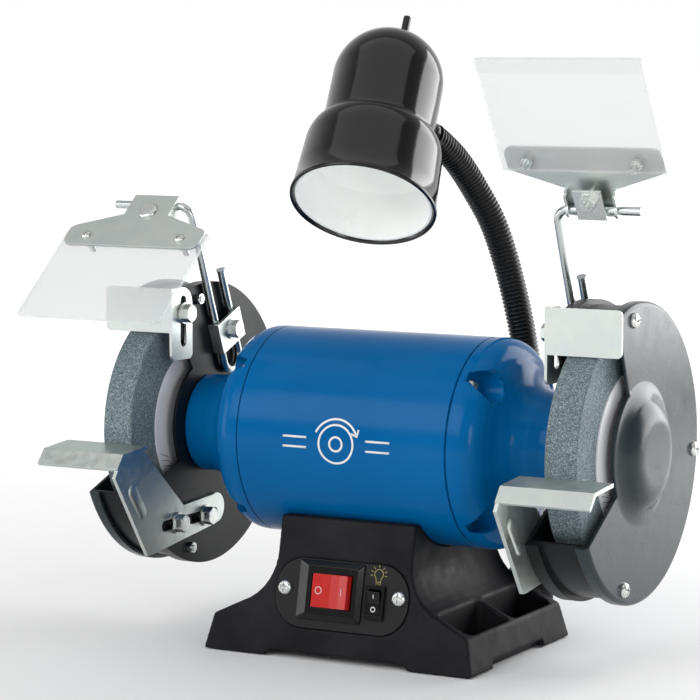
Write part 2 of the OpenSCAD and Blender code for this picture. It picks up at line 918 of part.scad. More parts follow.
function rod_point(y, s) = [
    y * cos(rod_lean) - s * sin(rod_lean),
    rod_z + y * sin(rod_lean) + s * cos(rod_lean)
];
clamp_bolt_yz = rod_point(rod_gap / 2, clamp_bolt_s);
function arm_yz(setting) = rod_point(0, rod_arm + setting);

module shield_rod(setting) {
    on_rod() translate([0, 0, setting]) {
        translate([0, 0, rod_low]) cylinder(r = rod_r, h = rod_arm - rod_bend - rod_low);
        translate([0, rod_gap, rod_low]) cylinder(r = rod_r, h = rod_short_top - rod_low);
        translate([0, rod_gap, rod_short_top]) cylinder(r = rod_r + 0.4, h = 1);
        translate([0, rod_gap / 2, rod_low]) rotate([90, 0, 90]) rotate([0, 0, 180])
            rotate_extrude(angle = 180) translate([rod_gap / 2, 0]) circle(rod_r);
        translate([rod_bend, 0, rod_arm - rod_bend]) rotate([90, 0, 0]) rotate([0, 0, 90])
            rotate_extrude(angle = 90) translate([rod_bend, 0]) circle(rod_r);
        translate([rod_bend, 0, rod_arm]) rotate([0, 90, 0])
            cylinder(r = rod_r, h = arm_end - rod_x - rod_bend);
    }
}

module shield_rod_left() {
    color(zinc) on_side(-1) shield_rod(rod_set_left);
}

module shield_rod_right() {
    color(zinc) on_side(1) shield_rod(rod_set_right);
}

// Channel clip that holds the U of the rod on the guard
module rod_clamp() {
    reach = rod_r + slide_gap;
    on_rod() difference() {
        translate([-reach - clamp_t, -reach - clamp_t, clamp_bolt_s - 11])
            cube([2 * reach + clamp_t, rod_gap + 2 * reach + 2 * clamp_t, 20]);
        translate([-reach, -reach, clamp_bolt_s - 12]) cube([2 * reach + 1, rod_gap + 2 * reach, 22]);
        translate([-reach - 5, rod_gap / 2, clamp_bolt_s]) rotate([0, 90, 0]) cylinder(r = 3, h = 20);
    }
}

module rod_clamps() {
    color(zinc) both_sides() rod_clamp();
}

// Local frame of a shield: the rod's arm is the X axis, +Z runs up the shield's plane
module on_arm(tilt, setting) {
    p = arm_yz(setting);
    translate([shield_x, p[0], p[1]]) rotate([tilt, 0, 0]) children();
}

// Sheet bracket: tab and bar behind the arm, an ear at each side that the arm runs through
module shield_bracket(tilt, setting) {
    low = -rod_r - 2;
    neck_z = 13;
    on_arm(tilt, setting) difference() {
        union() {
            translate([0, plate_y + bracket_t, 0]) rotate([90, 0, 0]) linear_extrude(bracket_t) {
                polygon([
                    [-ear_x, low], [ear_x, low], [ear_x, neck_z], [bar_half - 3, bar[0] - 0.5],
                    [bar_half, bar[0] + 2], [bar_half, bar[1] - bar_corner], [bar_half - bar_corner, bar[1]],
                    [bar_corner - bar_half, bar[1]], [-bar_half, bar[1] - bar_corner],
                    [-bar_half, bar[0] + 2], [3 - bar_half, bar[0] - 0.5], [-ear_x, neck_z]
                ]);
                for (x = [-1, 1]) translate([x * (bar_half - bar_corner), bar[1] - bar_corner])
                    circle(bar_corner);
            }
            for (x = [-ear_x, ear_x - bracket_t]) translate([x, 0, 0]) {
                rotate([0, 90, 0]) cylinder(r = -low, h = bracket_t);
                translate([0, 0, low]) cube([bracket_t, plate_y + bracket_t, neck_z - low]);
                translate([0, low + 2, 0]) cube([bracket_t, plate_y, neck_z - 2]);
            }
            // lip under the arm that joins the ears
            translate([-ear_x, 0.5, low]) cube([2 * ear_x, plate_y, bracket_t]);
        }
        translate([-30, 0, 0]) rotate([0, 90, 0]) cylinder(r = rod_r + run_gap, h = 60);
        for (x = [-1, 1]) translate([x * shield_screw[0], 0, shield_screw[1]]) rotate([-90, 0, 0])
            cylinder(r = 2, h = 20);
        translate([0, 0, pinch_z]) rotate([-90, 0, 0]) cylinder(r = 2.5, h = 20);
    }
}

module shield_bracket_left() {
    color(zinc) on_side(-1) shield_bracket(shield_tilt_left, rod_set_left);
}

module shield_bracket_right() {
    color(zinc) on_side(1) shield_bracket(shield_tilt_right, rod_set_right);
}

module shield(tilt, setting) {
    corner = 2;
    on_arm(tilt, setting) translate([0, plate_y, (shield_near + shield_far) / 2]) rotate([90, 0, 0])
        linear_extrude(shield_t) difference() {
            rounded_rect([shield_w, shield_far - shield_near], corner);
            for (x = [-1, 1])
                translate([x * shield_screw[0], shield_screw[1] - (shield_near + shield_far) / 2]) circle(2);
        }
}

module shield_left() {
    color([0.92, 0.95, 0.96, 0.4]) on_side(-1) shield(shield_tilt_left, rod_set_left);
}

module shield_right() {
    color([0.92, 0.95, 0.96, 0.4]) on_side(1) shield(shield_tilt_right, rod_set_right);
}

// Two screws with nuts for the plate; pinch bolt and the clip it pulls against the arm
module shield_screws(tilt, setting) {
    clip_half = 9;
    clip_y = -rod_r - 0.4;
    on_arm(tilt, setting) {
        for (x = [-1, 1]) translate([x * shield_screw[0], 0, shield_screw[1]]) {
            translate([0, plate_y + bracket_t, 0]) rotate([-90, 0, 0]) pan_screw(3.2, 2, 2, 13);
            translate([0, plate_y - shield_t, 0]) rotate([90, 0, 0]) hex_head(6.6, 2.8);
        }
        translate([0, plate_y + bracket_t, pinch_z]) rotate([-90, 0, 0]) pan_head(6.4, 1.8);
        translate([0, plate_y + bracket_t + 0.5, pinch_z]) rotate([90, 0, 0]) cylinder(r = 2.5, h = 17);
        translate([0, clip_y - 1.4, pinch_z]) rotate([90, 0, 0]) hex_head(9.5, 4.2);
        translate([-clip_half, clip_y - 1.4, -rod_r - 1.4]) cube([2 * clip_half, 1.4, 20]);
    }
}

module shield_screws_left() {
    color(zinc) on_side(-1) shield_screws(shield_tilt_left, rod_set_left);
}

module shield_screws_right() {
    color(zinc) on_side(1) shield_screws(shield_tilt_right, rod_set_right);
}

// ---------- lamp ----------

module neck_ferrule() {
    color(black) translate([neck_pos[0], neck_pos[1], boss_top]) difference() {
        union() {
            cylinder(r = 14.5, h = 7, $fn = 6);
            translate([0, 0, 7]) cylinder(r1 = 12.2, r2 = 11, h = 12);
        }
        translate([0, 0, -1]) cylinder(r = neck_outer_r + run_gap, h = 30);
    }
}

// Put +Z on the way from a to b
module along(a, b) {
    d = b - a;
    translate(a) rotate([0, acos(d[2] / norm(d)), atan2(d[1], d[0])]) children();
}

// One stretch of gooseneck: a cup that sits over the ball below it, and its own ball on top
module neck_link(a, b) {
    length = norm(b - a);
    cup = neck_outer_r + slide_gap;
    color(black) along(a, b) difference() {
        union() {
            cylinder(r = neck_outer_r, h = length);
            translate([0, 0, length]) sphere(neck_outer_r);
        }
        sphere(cup);
        translate([0, 0, -cup]) cylinder(r = cup, h = cup + cup_rim);
    }
}

// The lowest stretch stands in the ferrule and can be turned there
module neck_base() {
    foot = boss_top - 17;
    color(black) translate([neck_pos[0], neck_pos[1], foot]) {
        cylinder(r = neck_outer_r, h = neck_joints[0][2] - foot);
        translate([0, 0, neck_joints[0][2] - foot]) sphere(neck_outer_r);
    }
}

module neck_link_1() {
    neck_link(neck_joints[0], neck_joints[1]);
}

module neck_link_2() {
    neck_link(neck_joints[1], neck_joints[2]);
}

module neck_link_3() {
    neck_link(neck_joints[2], neck_joints[3]);
}

module neck_link_4() {
    neck_link(neck_joints[3], head_joint);
}

// Frame of the lamp: origin at the middle of its mouth, +Z towards the dome
module on_lamp() {
    translate(shade_pos) rotate(shade_turn) children();
}

shade_outside = concat(
    [[shade_r, 0], [shade_r + 0.8, 1], [shade_r, 2.4], [shade_r - 1.6, 34]],
    bezier([shade_r - 1.8, 38], [shade_r - 3.5, 47], [tube_r + 2.5, 49.5], 5),
    [[tube_r + 0.6, 51], [tube_r, 54]],
    [for (a = [0 : 10 : 80]) [tube_r * cos(a), shade_len - tube_r + tube_r * sin(a)]],
    [[0, shade_len]]
);
shade_inside = concat(
    [[0, shade_len - 2]],
    [for (a = [80 : -10 : 0]) [(tube_r - 2) * cos(a), shade_len - tube_r + (tube_r - 2) * sin(a)]],
    [[tube_r - 2, 52], [shade_r - 4, 38], [shade_r - 3.6, 34], [shade_r - 2, 0]]
);

// A place on the radius where the gooseneck meets the shade
module on_collar(r) {
    rotate([0, 0, collar_turn]) translate([r, 0, collar_s]) children();
}

module lamp_shade() {
    color(black) on_lamp() {
        difference() {
            union() {
                rotate_extrude() polygon(concat(shade_outside, shade_inside));
                on_collar(tube_r - 1.4) rotate([0, 90, 0]) cylinder(r = collar_r, h = collar_len);
                translate([stem_x, 0, shade_len - 3]) cylinder(r = stem_seat_r, h = 4);
            }
            translate([stem_x, 0, shade_len - 20]) cylinder(r = stem_r, h = 40);
            // seat for the ball on top of the gooseneck
            on_collar(head_joint_r) sphere(neck_outer_r + slide_gap);
        }
    }
}

// White liner inside the shade
module lamp_reflector() {
    color([0.95, 0.95, 0.93]) on_lamp() rotate_extrude() polygon([
        [shade_r - 2.2, 1.4], [shade_r - 3.8, 33], [32.4, 49], [31.2, 52], [22, 62], [21, 62], [21, 60.6],
        [30, 51], [31.2, 48.4], [shade_r - 5.2, 32], [shade_r - 3.6, 1.4]
    ]);
}

// Socket and the stem that fixes it to the dome
module lamp_holder() {
    color([0.9, 0.88, 0.82]) on_lamp() {
        difference() {
            translate([0, 0, cap_s]) cylinder(r = holder_r, h = holder_len);
            translate([0, 0, cap_s - 1]) cylinder(r = cap_r, h = cap_len + 1);
        }
        translate([stem_x, 0, cap_s + holder_len])
            cylinder(r = stem_r, h = shade_len + stem_out - cap_s - holder_len);
    }
}

// Reflector bulb: round front, neck and a screw cap in the holder
module lamp_bulb() {
    color([0.97, 0.96, 0.92]) on_lamp() {
        translate([0, 0, cap_s]) cylinder(r = cap_r, h = cap_len);
        rotate_extrude() polygon(concat(
            [[0, bulb_s - bulb_r]],
            [for (a = [-80 : 16 : 32]) [bulb_r * cos(a), bulb_s + bulb_r * sin(a)]],
            [[cap_r - 0.4, cap_s - 4], [cap_r - 0.8, cap_s], [0, cap_s]]
        ));
    }
}

base_casting();
base_plate();
base_plate_screws();
rubber_feet();
control_panel();
panel_screws();
main_switch_frame();
main_rocker();
lamp_switch_frame();
lamp_rocker();
cable_gland();
capacitor();
terminal_block();
motor_shell();
end_bell_left();
end_bell_right();
tie_screws();
stator_core();
stator_windings();
rotor();
cooling_fan();
shaft();
bearings();
inner_flanges();
outer_flanges();
wheel_blotters();
wheel_left();
wheel_right();
spindle_nuts();
guard_left();
guard_right();
guard_screws();
cover_left();
cover_right();
cover_screws();
deflector_left();
deflector_right();
tool_rest_left();
tool_rest_right();
guard_bolts();
rod_clamps();
shield_rod_left();
shield_rod_right();
shield_bracket_left();
shield_bracket_right();
shield_left();
shield_right();
shield_screws_left();
shield_screws_right();
neck_ferrule();
neck_base();
neck_link_1();
neck_link_2();
neck_link_3();
neck_link_4();
lamp_shade();
lamp_reflector();
lamp_holder();
lamp_bulb();
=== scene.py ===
import json
import math

import bmesh
import bpy
from mathutils import Matrix, Vector


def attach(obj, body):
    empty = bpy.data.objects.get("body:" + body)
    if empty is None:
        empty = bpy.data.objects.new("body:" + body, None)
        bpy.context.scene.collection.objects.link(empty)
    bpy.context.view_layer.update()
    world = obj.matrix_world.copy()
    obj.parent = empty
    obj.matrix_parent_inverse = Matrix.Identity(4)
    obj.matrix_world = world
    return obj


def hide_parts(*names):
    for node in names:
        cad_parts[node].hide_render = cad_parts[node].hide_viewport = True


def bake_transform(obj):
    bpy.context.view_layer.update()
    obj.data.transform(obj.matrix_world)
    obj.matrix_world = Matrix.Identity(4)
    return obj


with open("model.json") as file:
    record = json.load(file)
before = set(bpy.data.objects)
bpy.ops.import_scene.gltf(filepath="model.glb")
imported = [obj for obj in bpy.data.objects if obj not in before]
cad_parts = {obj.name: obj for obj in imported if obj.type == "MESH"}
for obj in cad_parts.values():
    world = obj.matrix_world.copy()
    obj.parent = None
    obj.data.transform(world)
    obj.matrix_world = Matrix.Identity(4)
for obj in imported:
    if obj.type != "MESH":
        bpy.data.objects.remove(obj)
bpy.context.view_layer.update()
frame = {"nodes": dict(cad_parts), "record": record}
MM = 0.001
SHAFT_Z = 129
SHELL_R = 63.6
BELL_IN_R = 59.6
FULL_TURN = 360

# ---------------------------------------------------------------- materials


class Mat:
    """A Principled material with object coordinates in metres and helpers for procedural detail."""

    def __init__(self, name, color, rough=0.4, metal=0.0, **sockets):
        self.m = bpy.data.materials.new(name)
        self.m.use_nodes = True
        self.nt = self.m.node_tree
        self.nt.nodes.clear()
        self.out = self.add("ShaderNodeOutputMaterial")
        self.bsdf = self.add("ShaderNodeBsdfPrincipled")
        self.link(self.bsdf.outputs[0], self.out.inputs[0])
        self.coord = self.add("ShaderNodeTexCoord").outputs["Object"]
        self.bsdf.inputs["Base Color"].default_value = (*color, 1)
        self.bsdf.inputs["Roughness"].default_value = rough
        self.bsdf.inputs["Metallic"].default_value = metal
        for key, value in sockets.items():
            self.bsdf.inputs[key.replace("_", " ")].default_value = value
        self.normal = None

    def add(self, kind, **props):
        n = self.nt.nodes.new(kind)
        for k, v in props.items():
            setattr(n, k, v)
        return n

    def link(self, a, b):
        self.nt.links.new(a, b)

    def stretched(self, scale):
        n = self.add("ShaderNodeMapping")
        n.inputs["Scale"].default_value = scale
        self.link(self.coord, n.inputs["Vector"])
        return n.outputs[0]

    def noise(self, scale, detail=3.0, rough=0.5, vector=None, distortion=0.0):
        n = self.add("ShaderNodeTexNoise")
        n.inputs["Scale"].default_value = scale
        n.inputs["Detail"].default_value = detail
        n.inputs["Roughness"].default_value = rough
        n.inputs["Distortion"].default_value = distortion
        self.link(vector or self.coord, n.inputs["Vector"])
        return n.outputs["Fac"]

    def cells(self, scale, output="Distance"):
        n = self.add("ShaderNodeTexVoronoi")
        n.inputs["Scale"].default_value = scale
        self.link(self.coord, n.inputs["Vector"])
        return n.outputs[output]

    def ramp(self, fac, stops):
        n = self.add("ShaderNodeValToRGB")
        e = n.color_ramp.elements
        while len(e) < len(stops):
            e.new(0.5)
        for item, (pos, col) in zip(e, stops):
            item.position = pos
            item.color = (*col, 1) if hasattr(col, "__len__") else (col, col, col, 1)
        self.link(fac, n.inputs[0])
        return n.outputs[0]

    def mix(self, fac, a, b, mode="MIX"):
        n = self.add("ShaderNodeMix", data_type="RGBA", blend_type=mode)
        for i, v in ((0, fac), (6, a), (7, b)):
            if hasattr(v, "node"):
                self.link(v, n.inputs[i])
            elif i == 0:
                n.inputs[0].default_value = v
            else:
                n.inputs[i].default_value = (*v, 1)
        return n.outputs[2]

    def span(self, value, low, high, a, b):
        n = self.add("ShaderNodeMapRange")
        for i, v in ((1, low), (2, high), (3, a), (4, b)):
            n.inputs[i].default_value = v
        self.link(value, n.inputs[0])
        return n.outputs[0]

    def color(self, socket):
        self.link(socket, self.bsdf.inputs["Base Color"])
        return self

    def rough(self, value, low, high):
        self.link(self.span(value, 0.3, 0.7, low, high), self.bsdf.inputs["Roughness"])
        return self

    def edges(self, radius_mm):
        n = self.add("ShaderNodeBevel", samples=6)
        n.inputs["Radius"].default_value = radius_mm * MM
        self.normal = n.outputs[0]
        self.link(self.normal, self.bsdf.inputs["Normal"])
        return self

    def bump(self, height, strength, depth_mm):
        n = self.add("ShaderNodeBump")
        n.inputs["Strength"].default_value = strength
        n.inputs["Distance"].default_value = depth_mm * MM
        self.link(height, n.inputs["Height"])
        if self.normal is not None:
            self.link(self.normal, n.inputs["Normal"])
        self.normal = n.outputs[0]
        self.link(self.normal, self.bsdf.inputs["Normal"])
        return self


def enamel():
    p = Mat("motor_enamel", (0.0, 0.12, 0.33), 0.22, Specular_IOR_Level=0.08)
    p.color(p.ramp(p.noise(9, 3), [(0.3, (0.0, 0.100, 0.295)), (0.7, (0.0, 0.122, 0.345))]))
    p.rough(p.noise(60, 3), 0.13, 0.2)
    p.edges(0.7)
    return p.bump(p.noise(420, 2), 0.12, 0.05).m


def casting_paint():
    p = Mat("casting_paint", (0.012, 0.011, 0.013), 0.5, Specular_IOR_Level=0.1)
    cloud = p.ramp(p.noise(26, 4, 0.6), [(0.35, 0.0), (0.7, 1.0)])
    p.color(p.mix(cloud, (0.007, 0.007, 0.009), (0.016, 0.015, 0.017)))
    p.rough(p.noise(90, 3), 0.42, 0.56)
    p.edges(0.8)
    p.bump(p.noise(700, 4, 0.6), 0.35, 0.12)
    return p.bump(p.noise(60, 2), 0.2, 0.25).m


def satin_paint(name, low, high, rough, grain=900, strength=0.18, specular=0.3):
    p = Mat(name, low, rough, Specular_IOR_Level=specular)
    p.color(p.mix(p.noise(30, 4, 0.6), low, high))
    p.rough(p.noise(80, 3), rough - 0.05, rough + 0.05)
    p.edges(0.5)
    return p.bump(p.noise(grain, 3), strength, 0.06).m


def zinc(name="zinc_plate", tint=(0.60, 0.64, 0.62), rough=0.38, streak=(1, 1, 1)):
    p = Mat(name, tint, rough, 1.0, Specular_Tint=(0.70, 0.77, 0.75, 1))
    cool = tuple(c * k for c, k in zip(tint, (0.94, 0.97, 0.99)))
    warm = tuple(c * k for c, k in zip(tint, (1.05, 1.03, 0.99)))
    cloud = p.noise(55, 4, 0.6, distortion=0.6)
    p.color(p.mix(p.ramp(cloud, [(0.32, 0.0), (0.68, 1.0)]), cool, warm))
    p.rough(p.noise(160, 4, 0.65, p.stretched(streak)), rough - 0.07, rough + 0.1)
    p.edges(0.35)
    return p.bump(p.noise(1500, 2, vector=p.stretched(streak)), 0.06, 0.02).m


def turned_steel(name, tint, rough):
    p = Mat(name, tint, rough, 1.0)
    rings = p.noise(900, 2, vector=p.stretched((6, 0.25, 0.25)))
    p.color(p.mix(rings, tuple(0.8 * c for c in tint), tint))
    p.rough(rings, rough - 0.06, rough + 0.08)
    p.edges(0.3)
    return p.bump(rings, 0.15, 0.03).m


def abrasive():
    p = Mat("abrasive_grit", (0.2, 0.2, 0.21), 0.85)
    grain = p.cells(1900, output="Color")
    split = p.add("ShaderNodeSeparateColor")
    p.link(grain, split.inputs[0])
    tone = p.ramp(split.outputs[0], [
        (0.0, (0.055, 0.075, 0.084)), (0.3, (0.105, 0.143, 0.158)), (0.7, (0.165, 0.218, 0.240)),
        (0.95, (0.255, 0.320, 0.345)), (1.0, (0.42, 0.48, 0.50))])
    cloud = p.ramp(p.noise(38, 4, 0.6), [(0.3, (0.88, 0.88, 0.88)), (0.7, (1.08, 1.08, 1.08))])
    p.color(p.mix(1.0, tone, cloud, "MULTIPLY"))
    p.rough(split.outputs[1], 0.65, 0.95)
    p.edges(0.5)
    p.bump(p.cells(1900), 0.45, 0.3)
    return p.bump(p.noise(300, 4, 0.7), 0.3, 0.3).m


def gloss_plastic(name, color, rough=0.18, variation=0.15, peel=0.08, radius=0.5, specular=0.5):
    p = Mat(name, color, rough, Specular_IOR_Level=specular)
    dark, light = (tuple(c * (1 + k * variation) for c in color) for k in (-1, 1))
    p.color(p.mix(p.noise(45, 3), dark, light))
    p.rough(p.noise(120, 4, 0.6), rough * 0.8, rough * 1.25)
    p.edges(radius)
    return p.bump(p.noise(500, 2), peel, 0.04).m


def clear_sheet():
    p = Mat("clear_sheet", (0.7, 0.72, 0.72), 0.08, Alpha=0.36, IOR=1.49, Specular_IOR_Level=0.25)
    p.color(p.mix(p.noise(14, 3), (0.60, 0.62, 0.62), (0.66, 0.68, 0.68)))
    p.rough(p.noise(40, 4, 0.6), 0.05, 0.12)
    return p.bump(p.noise(25, 2), 0.03, 0.1).m


def sheet_edge():
    p = Mat("clear_sheet_edge", (0.7, 0.73, 0.73), 0.3, Alpha=0.5)
    p.color(p.mix(p.noise(90, 3), (0.62, 0.66, 0.66), (0.80, 0.83, 0.83)))
    return p.bump(p.noise(700, 3), 0.3, 0.05).m


def windings():
    p = Mat("varnished_copper", (0.45, 0.16, 0.05), 0.35, 0.6)
    strands = p.add("ShaderNodeTexWave", wave_type="BANDS", bands_direction="X")
    strands.inputs["Scale"].default_value = 600
    strands.inputs["Distortion"].default_value = 2.5
    p.link(p.coord, strands.inputs["Vector"])
    p.color(p.mix(strands.outputs["Fac"], (0.30, 0.09, 0.03), (0.62, 0.25, 0.09)))
    return p.bump(strands.outputs["Fac"], 0.7, 0.4).m


def laminations():
    p = Mat("laminated_core", (0.3, 0.3, 0.31), 0.4, 1.0)
    stack = p.add("ShaderNodeTexWave", wave_type="BANDS", bands_direction="X")
    stack.inputs["Scale"].default_value = 320
    p.link(p.coord, stack.inputs["Vector"])
    p.color(p.mix(stack.outputs["Fac"], (0.16, 0.16, 0.17), (0.36, 0.36, 0.37)))
    return p.bump(stack.outputs["Fac"], 0.5, 0.2).m


def blotter_card():
    p = Mat("blotter_card", (0.8, 0.8, 0.85), 0.7)
    fibre = p.noise(900, 4, 0.7)
    p.color(p.mix(p.ramp(fibre, [(0.35, 0.0), (0.65, 1.0)]), (0.74, 0.75, 0.80), (0.84, 0.85, 0.88)))
    return p.bump(fibre, 0.2, 0.08).m


def opal(name, color):
    p = Mat(name, color, 0.25, Subsurface_Weight=0.3)
    p.color(p.mix(p.noise(60, 3), tuple(0.95 * c for c in color), color))
    p.rough(p.noise(200, 3), 0.2, 0.32)
    return p.bump(p.noise(900, 2), 0.05, 0.03).m


# the liner's faint white emission is a painted glow: the bulb is off, and it only brightens the shaded inside of the
# shade
def painted_glow_liner():
    p = Mat("lamp_liner_painted_glow", (0.86, 0.87, 0.85), 0.32, Emission_Color=(0.95, 1.0, 0.98, 1), Emission_Strength=0.1)
    p.color(p.mix(p.noise(20, 3), (0.80, 0.82, 0.80), (0.90, 0.91, 0.89)))
    p.rough(p.noise(70, 4), 0.25, 0.4)
    return p.bump(p.noise(300, 3), 0.12, 0.06).m


def can_metal():
    p = Mat("drawn_can", (0.6, 0.6, 0.58), 0.35, 1.0)
    lines = p.noise(300, 3, vector=p.stretched((0.2, 6, 6)))
    p.color(p.mix(lines, (0.48, 0.48, 0.46), (0.68, 0.68, 0.66)))
    p.edges(0.6)
    return p.bump(lines, 0.2, 0.05).m


def ink(name, color):
    p = Mat(name, color, 0.45)
    p.color(p.mix(p.noise(400, 3), tuple(0.88 * c for c in color), color))
    return p.bump(p.noise(1200, 2), 0.1, 0.02).m


M = {
    "motor_blue": enamel(),
    "base_paint": casting_paint(),
    "guard_black": satin_paint(
        "guard_paint", (0.004, 0.005, 0.006), (0.008, 0.009, 0.010), 0.34, specular=0.2
    ),
    "cover_grey": satin_paint(
        "cover_paint", (0.012, 0.021, 0.026), (0.018, 0.029, 0.034), 0.25, 500, 0.015, 0.36
    ),
    "zinc": zinc(),
    "bolt_zinc": zinc("bolt_zinc", (0.66, 0.68, 0.67), 0.26),
    "rod_zinc": zinc("rod_zinc", (0.56, 0.59, 0.59), 0.26, (1, 1, 0.1)),
    "steel": turned_steel("turned_steel", (0.45, 0.45, 0.46), 0.32),
    "core_steel": laminations(),
    "copper": windings(),
    "abrasive": abrasive(),
    "label_card": blotter_card(),
    "rubber": gloss_plastic("foot_rubber", (0.02, 0.02, 0.02), 0.65, 0.3, 0.3),
    "black_plastic": gloss_plastic("switch_plastic", (0.003, 0.003, 0.003), 0.16, specular=0.3),
    "panel_plastic": satin_paint(
        "panel_plastic", (0.012, 0.011, 0.012), (0.020, 0.019, 0.020), 0.42, 1100, 0.25, 0.16
    ),
    "rocker_red": gloss_plastic("rocker_red", (0.50, 0.016, 0.014), 0.2, 0.1, specular=0.4),
    "clear_plastic": clear_sheet(),
    "sheet_edge": sheet_edge(),
    "neck_plastic": gloss_plastic("neck_plastic", (0.004, 0.004, 0.004), 0.26, 0.3, specular=0.35),
    "shade_black": gloss_plastic("shade_paint", (0.003, 0.003, 0.003), 0.12, 0.2, 0.1, 0.4),
    "liner_white": painted_glow_liner(),
    "cream_plastic": gloss_plastic("cream_plastic", (0.75, 0.72, 0.62), 0.35, 0.06),
    "bulb_glass": opal("bulb_glass", (0.9, 0.89, 0.86)),
    "can_metal": can_metal(),
    "white_ink": ink("white_ink", (0.82, 0.83, 0.83)),
    "gold_ink": ink("gold_ink", (0.42, 0.36, 0.12)),
    "pale_ink": ink("pale_ink", (0.75, 0.45, 0.43)),
    "grey_ink": ink("grey_ink", (0.20, 0.20, 0.24)),
}

SLOT_OF = {s["node"]: s["material_slot"] for s in frame["record"]["subparts"]}
OVERRIDE = {
    "shield_rod_left": "rod_zinc", "shield_rod_right": "rod_zinc", "guard_bolts": "bolt_zinc",
    "cover_screws": "bolt_zinc", "panel_screws": "bolt_zinc", "guard_screws": "bolt_zinc",
    "shield_screws_left": "bolt_zinc", "shield_screws_right": "bolt_zinc", "tie_screws": "bolt_zinc",
}
for name, o in frame["nodes"].items():
    o.data.materials.clear()
    o.data.materials.append(M[OVERRIDE.get(name, SLOT_OF[name])])

# ---------------------------------------------------------------- geometry helpers


def place(name, mesh, mat, body, sharp=35):
    mesh.materials.append(M[mat])
    for p in mesh.polygons:
        p.use_smooth = True
    if sharp:
        mesh.set_sharp_from_angle(angle=math.radians(sharp))
    o = bpy.data.objects.new(name, mesh)
    bpy.context.scene.collection.objects.link(o)
    if body:
        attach(o, body)
    return o


def mesh_of(name, verts, faces):
    m = bpy.data.meshes.new(name)
    m.from_pydata([Vector(v) * MM for v in verts], [], faces)
    m.validate()
    b = bmesh.new()
    b.from_mesh(m)
    bmesh.ops.remove_doubles(b, verts=b.verts, dist=1e-6)
    bmesh.ops.recalc_face_normals(b, faces=b.faces)
    b.to_mesh(m)
    b.free()
    return m


def lathe(name, profile, matrix, segments=160):
    """Closed profile of (radius, height) points in mm, turned about the local Z axis."""
    verts, faces = [], []
    n = len(profile)
    for i in range(segments):
        a = 2 * math.pi * i / segments
        for r, h in profile:
            verts.append(matrix @ Vector((r * math.cos(a), r * math.sin(a), h)))
    for i in range(segments):
        j = (i + 1) % segments
        for k in range(n):
            l = (k + 1) % n
            if profile[k][0] == 0 and profile[l][0] == 0:
                continue
            faces.append((i * n + k, j * n + k, j * n + l, i * n + l))
    return mesh_of(name, verts, faces)


def ribbon(name, paths, width, to_world, mat, body, lift=0.06):
    """Flat strokes along 2-D paths; to_world maps (u, v, height) to a point in mm."""
    verts, faces = [], []
    for path in paths:
        closed = path[0] == path[-1]
        pts = [Vector(p) for p in (path[:-1] if closed else path)]
        n, base = len(pts), len(verts)
        for i, p in enumerate(pts):
            a = pts[(i - 1) % n] if closed or i else pts[i]
            b = pts[(i + 1) % n] if closed or i < n - 1 else pts[i]
            d = (b - a).normalized()
            side = Vector((-d.y, d.x)) * width / 2
            verts += [to_world(*(p + side), lift), to_world(*(p - side), lift)]
        for i in range(n if closed else n - 1):
            j = (i + 1) % n
            faces.append((base + 2 * i, base + 2 * j, base + 2 * j + 1, base + 2 * i + 1))
    m = bpy.data.meshes.new(name)
    m.from_pydata([Vector(v) * MM for v in verts], [], faces)
    o = place(name, m, mat, body, 0)
    s = o.modifiers.new("thickness", "SOLIDIFY")
    s.thickness = 0.05 * MM
    s.offset = 0
    return o


def on_circle(c, r, degrees, ry=None):
    """A point on a circle, or on an ellipse when ry is given."""
    a = math.radians(degrees)
    return (c[0] + r * math.cos(a), c[1] + (r if ry is None else ry) * math.sin(a))


def circle2d(c, r, a0=0.0, a1=FULL_TURN, n=48):
    """An arc of n steps; a full turn ends exactly on its first point, which ribbon() reads as closed."""
    end = a0 if a1 - a0 == FULL_TURN else a1
    return [on_circle(c, r, a0 + (a1 - a0) * i / n) for i in range(n)] + [on_circle(c, r, end)]


def bez(a, b, c, n):
    """A quadratic curve from a to c, pulled towards b, in n steps."""
    steps = [i / n for i in range(n + 1)]
    return [tuple((1 - t) ** 2 * a[k] + 2 * t * (1 - t) * b[k] + t * t * c[k] for k in (0, 1)) for t in steps]


def cutter(name, mesh):
    o = bpy.data.objects.new(name, mesh)
    bpy.context.scene.collection.objects.link(o)
    return o


def cut(o, cutters):
    """Subtract meshes from o and keep the result as o's own mesh."""
    for c in cutters:
        b = o.modifiers.new("cut", "BOOLEAN")
        b.operation, b.solver, b.object = "DIFFERENCE", "EXACT", c
    bpy.context.view_layer.update()
    made = bpy.data.meshes.new_from_object(o.evaluated_get(bpy.context.evaluated_depsgraph_get()))
    o.modifiers.clear()
    for c in cutters:
        bpy.data.objects.remove(c)
    o.data = made


def soften(o, width_mm, segments, angle):
    b = o.modifiers.new("bevel", "BEVEL")
    b.width, b.segments, b.limit_method = width_mm * MM, segments, "ANGLE"
    b.angle_limit, b.use_clamp_overlap = math.radians(angle), False
    w = o.modifiers.new("normals", "WEIGHTED_NORMAL")
    w.keep_sharp = False


def finish_skin(o, slot, body, node, width_mm, segments, angle):
    """Give a cut skin its finish and round its edges, then let it stand in for a CAD node."""
    o.data.materials.clear()
    o.data.materials.append(M[slot])
    for p in o.data.polygons:
        p.use_smooth = True
    soften(o, width_mm, segments, angle)
    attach(o, body)
    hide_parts(node)


AXIS = Matrix.Translation((0, 0, SHAFT_Z))
TURN_X = Matrix.Rotation(math.pi / 2, 4, "Y")
MIRROR = Matrix.Diagonal((-1, 1, 1, 1))


def cylinder(name, r, x0, x1, y=0.0, z=0.0, segments=64, matrix=Matrix.Identity(4)):
    """A solid cylinder along X from x0 to x1."""
    place_at = matrix @ Matrix.Translation((0, y, z)) @ TURN_X
    return lathe(name, [(0, x0), (r, x0), (r, x1), (0, x1)], place_at, segments)


# ---------------------------------------------------------------- motor

